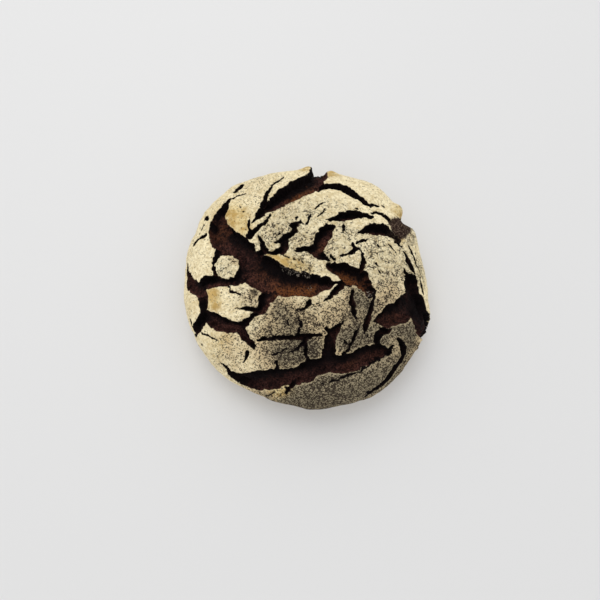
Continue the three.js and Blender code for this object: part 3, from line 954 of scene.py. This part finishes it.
# %% Torn edges
# painted highlight: the pale line where the lifted rim of a wide tear would catch the light
PAINTED_RIM_HIGHLIGHT = (0.80, 0.66, 0.40, 1)
gap_here = mark("gap") + 0.9 * (noise(520.0, detail=3.0, roughness=0.7) - 0.5)
in_tear = 1 - gap_here.over(-0.15, 0.2)
painted_rim_highlight = gap_here.over(0.1, 0.4) * (1 - gap_here.over(0.8, 1.6)) * mark("wide")
edged = (painted_rim_highlight * 0.3).blend(crackled, PAINTED_RIM_HIGHLIGHT)
surface = in_tear.blend(edged, painted_glints_on_crumb)
count_nodes("torn edges")

# %% Burst crumbs and baked underside
DARK_BURST = (0.022, 0.012, 0.009, 1)
PALE_BURST = (0.26, 0.18, 0.125, 1)
BAKED_BROWN = (0.30, 0.17, 0.085, 1)
BAKED_TAN = (0.62, 0.50, 0.34, 1)
burst_mask = (mark("burst") + 1.2 * (blotches - 0.5) + 0.4 * (speckle - 0.5)).over(0.35, 0.65)
burst_grain = 0.6 * speckle + 0.4 * crumb_grain
burst_colour = burst_grain.over(0.48, 0.80).blend(DARK_BURST, PALE_BURST)
with_burst = (burst_mask * (1 - 0.6 * in_tear)).blend(surface, burst_colour)
baked_under = noise(70.0, detail=4.0).over(0.35, 0.65).blend(BAKED_BROWN, BAKED_TAN)
colour = (mark("under") * 0.85 * (1 - in_tear)).blend(with_burst, baked_under)
count_nodes("burst and underside")

# %% [markdown]
# Flour is powdery and crumb is spongy, so neither shines, and the crumb is a little less rough than flour.
# Grain too fine for the mesh is bump: granules stand up, bare specks and crackle lines lie lower.

# %% Relief and sheen
RELIEF = 0.0015  # metres
height = 0.7 * noise(300.0, detail=5.0, roughness=0.7) + 0.3 * speckle - 0.5 * bare
height = height + mark("crackled") * (0.9 * scales.over(0.0, 0.3) - 0.9 * crackle_line)
relief = height * (1 - in_tear) + 2.0 * crumb_grain * in_tear
bump = here.add_node("ShaderNodeBump", {}, {"Height": relief, "Strength": 0.8, "Distance": RELIEF})
roughness = 0.92 - 0.22 * in_tear
count_nodes("relief")

# %% Join the shader
shader = tree.nodes.new("ShaderNodeBsdfPrincipled")
shader.inputs["Specular IOR Level"].default_value = 0.06
tree.links.new(colour.socket, shader.inputs["Base Color"])
tree.links.new(roughness.socket, shader.inputs["Roughness"])
tree.links.new(bump.socket, shader.inputs["Normal"])
output = tree.nodes.new("ShaderNodeOutputMaterial")
tree.links.new(shader.outputs["BSDF"], output.inputs["Surface"])
loaf_mesh.materials.append(crust)
count_nodes("the shader")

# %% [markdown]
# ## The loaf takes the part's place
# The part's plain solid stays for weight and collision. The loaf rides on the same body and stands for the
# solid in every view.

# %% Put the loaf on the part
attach(loaf, "root")
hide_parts("sourdough_loaf")
print("the loaf rides on root")

# %% [markdown]
# ## Floor, light and camera
# The loaf lies on a plain pale top. A large soft light from behind puts the lips' shadows into the tears,
# and an even pale surround fills the rest. The camera looks down from the front, nearly overhead. The floor
# has a hole under the loaf's flat base, because two faces in one plane flicker when seen from below.

# %% Floor
FLOOR_RADIUS = 6  # metres
HOLE_RADIUS = 0.09  # metres, less than the loaf's base
FLOOR_GREY = 0.7
FLOOR_ROUGHNESS = 0.6
sheet = bmesh.new()
bmesh.ops.create_circle(sheet, segments=96, radius=FLOOR_RADIUS)
bmesh.ops.create_circle(sheet, segments=96, radius=HOLE_RADIUS)
bmesh.ops.bridge_loops(sheet, edges=sheet.edges[:])
bmesh.ops.recalc_face_normals(sheet, faces=sheet.faces[:])
floor_mesh = bpy.data.meshes.new("floor")
sheet.to_mesh(floor_mesh)
sheet.free()
floor = bpy.data.objects.new("floor", floor_mesh)
bpy.context.scene.collection.objects.link(floor)
pale = bpy.data.materials.new("pale top")
pale.use_nodes = True
pale_shader = pale.node_tree.nodes["Principled BSDF"]
pale_shader.inputs["Base Color"].default_value = (FLOOR_GREY, FLOOR_GREY, FLOOR_GREY, 1)
pale_shader.inputs["Roughness"].default_value = FLOOR_ROUGHNESS
floor_mesh.materials.append(pale)
print("floor faces:", len(floor_mesh.polygons))

# %% Light
world = bpy.data.worlds.new("soft room")
bpy.context.scene.world = world
world.use_nodes = True
surround = world.node_tree.nodes["Background"]
surround.inputs["Color"].default_value = (1, 1, 1, 1)
surround.inputs["Strength"].default_value = 0.90


def add_light(name, place, width, watts):
    """A square soft light that faces the loaf."""
    light = bpy.data.lights.new(name, "AREA")
    light.size = width
    light.energy = watts
    lamp = bpy.data.objects.new(name, light)
    lamp.location = place
    lamp.rotation_euler = (-lamp.location).to_track_quat("-Z", "Y").to_euler()
    bpy.context.scene.collection.objects.link(lamp)
    print(name, "at", place)


add_light("window", place=(-0.5, 1.3, 2.3), width=1.8, watts=19)
bpy.context.scene.view_settings.view_transform = "Standard"

# %% Camera
ELEVATION = math.radians(76)
DISTANCE = 0.47  # metres from the point that it looks at
LOOKS_AT = np.array([-6.4, -18.3, 30.0])  # millimetres, in the form's own frame
LENS = 28
SENSOR = 36
aim = METRES_PER_MM * (LOOKS_AT + shift)
back = np.array([0, -math.cos(ELEVATION), math.sin(ELEVATION)])
camera_data = bpy.data.cameras.new("camera")
camera_data.lens = LENS
camera_data.sensor_width = SENSOR
camera = bpy.data.objects.new("camera", camera_data)
camera.location = aim + DISTANCE * back
camera.rotation_euler = (math.pi / 2 - ELEVATION, 0, 0)
bpy.context.scene.collection.objects.link(camera)
bpy.context.scene.camera = camera
print("camera at", camera.location)

# %% [markdown]
# ## Update the scene
# The looks have to keep to the part's box.

# %% Update the scene
bpy.context.view_layer.update()
